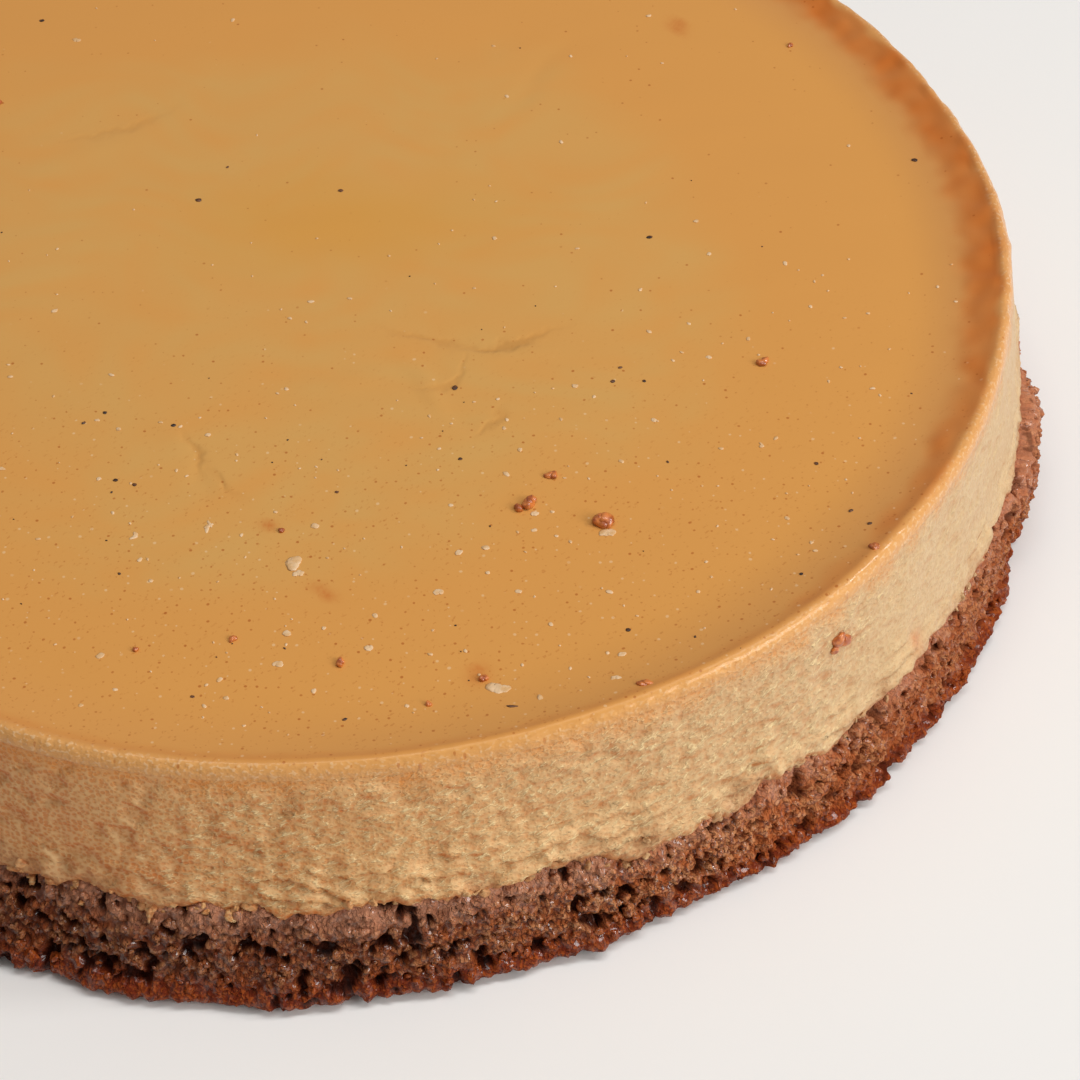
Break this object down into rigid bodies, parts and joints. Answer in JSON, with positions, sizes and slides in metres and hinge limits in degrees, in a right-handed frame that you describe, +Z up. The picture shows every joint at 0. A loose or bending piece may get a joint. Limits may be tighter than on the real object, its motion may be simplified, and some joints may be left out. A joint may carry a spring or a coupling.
{
  "type": "chocoflan",
  "caption": "Round chocoflan: a smooth baked caramel custard disc with a raised rim on a thin, open-crumbed chocolate sponge.",
  "frame": {"origin": "middle of the underside, on the face that the cake rests on", "axes": "+Z up through the custard's top; the sponge's one proud ledge is on the +X side"},
  "size_m": [0.2445, 0.2444, 0.043],
  "materials": {
    "custard": "smooth baked caramel custard, soft wet sheen on top, pitted and paler on its wall",
    "sponge": "moist, open chocolate crumb with small glints and a redder baked edge",
    "brown_crumb": "small glossy brown crumbs",
    "pale_flake": "small pale flakes of set custard",
    "dark_speck": "tiny dark seed-like specks"
  },
  "bodies": {
    "root": {"custard_layer": "custard", "sponge_layer": "sponge"}
  },
  "joints": []
}
